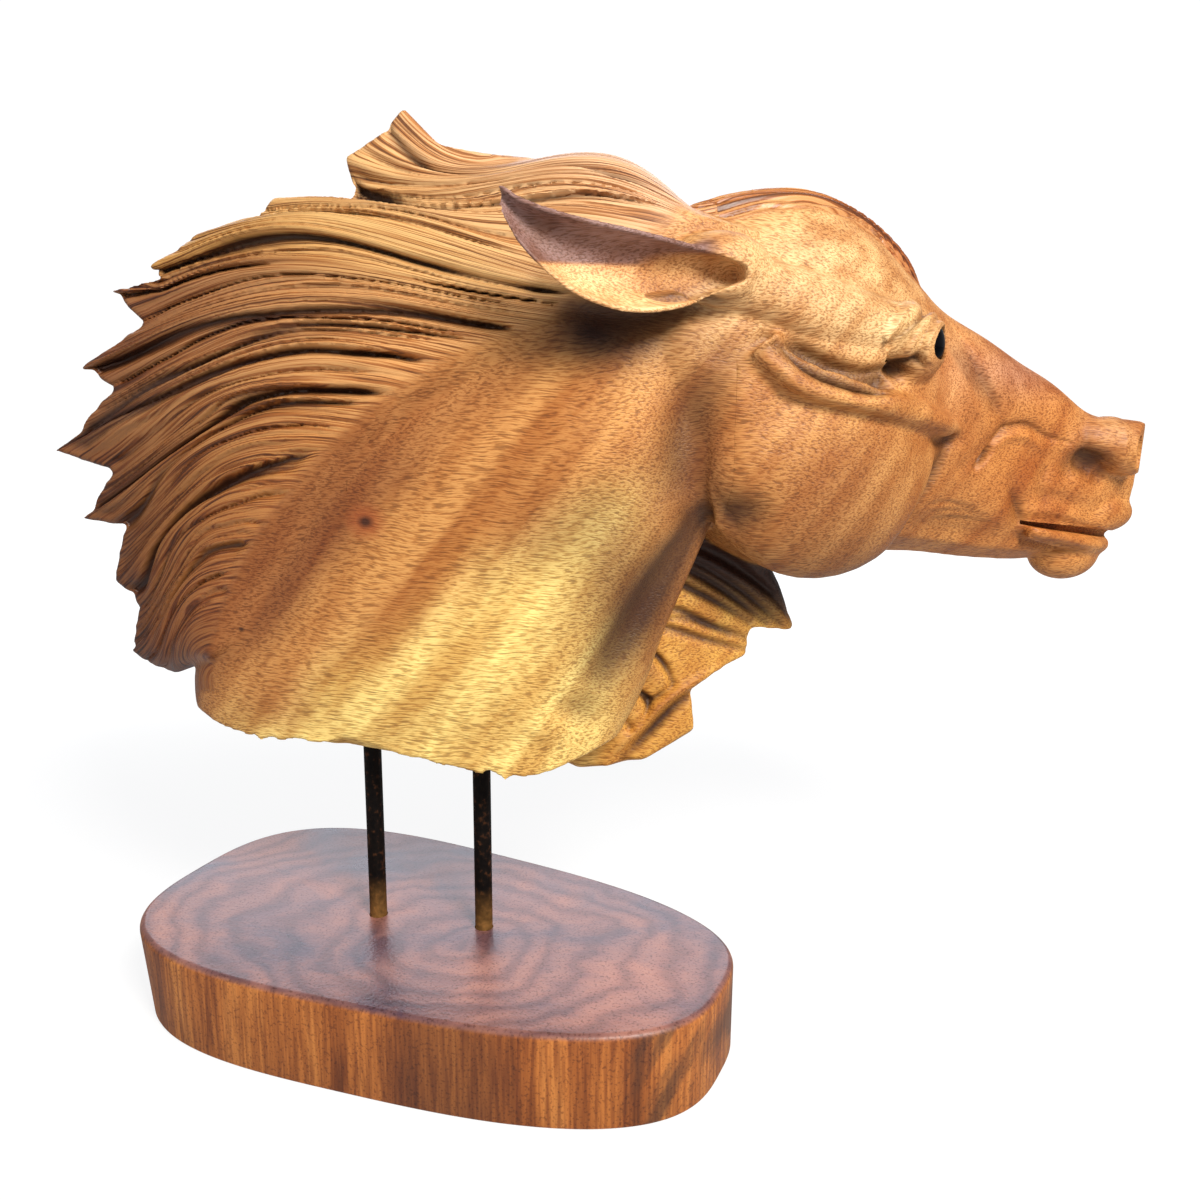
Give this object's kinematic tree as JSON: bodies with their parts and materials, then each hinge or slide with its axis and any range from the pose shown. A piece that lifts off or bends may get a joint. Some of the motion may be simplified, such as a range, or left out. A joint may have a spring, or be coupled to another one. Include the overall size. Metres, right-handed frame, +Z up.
{
  "type": "wooden horse head sculpture on a stand",
  "caption": "Carved wooden horse head with a blown-back mane, carried over an oval wooden plinth by slim iron rods.",
  "frame": {"origin": "on the plinth's underside, below the carrying rods", "axes": "+X along the line of the two rods towards the muzzle, +Y the side that the muzzle turns to, +Z up"},
  "size_m": [0.4807, 0.216, 0.3944],
  "materials": {
    "carved_wood": "satin oiled suar wood, golden sapwood at the neck, brown heartwood in the mane",
    "plinth_wood": "satin oiled, brown with darker streaks",
    "rusty_iron": "dark rusted round bar",
    "black_bead": "glossy black"
  },
  "bodies": {
    "root": {"horse_head": "carved_wood", "plinth": "plinth_wood", "rod_rear": "rusty_iron", "rod_front": "rusty_iron", "eye_right": "black_bead", "eye_left": "black_bead"}
  },
  "joints": []
}
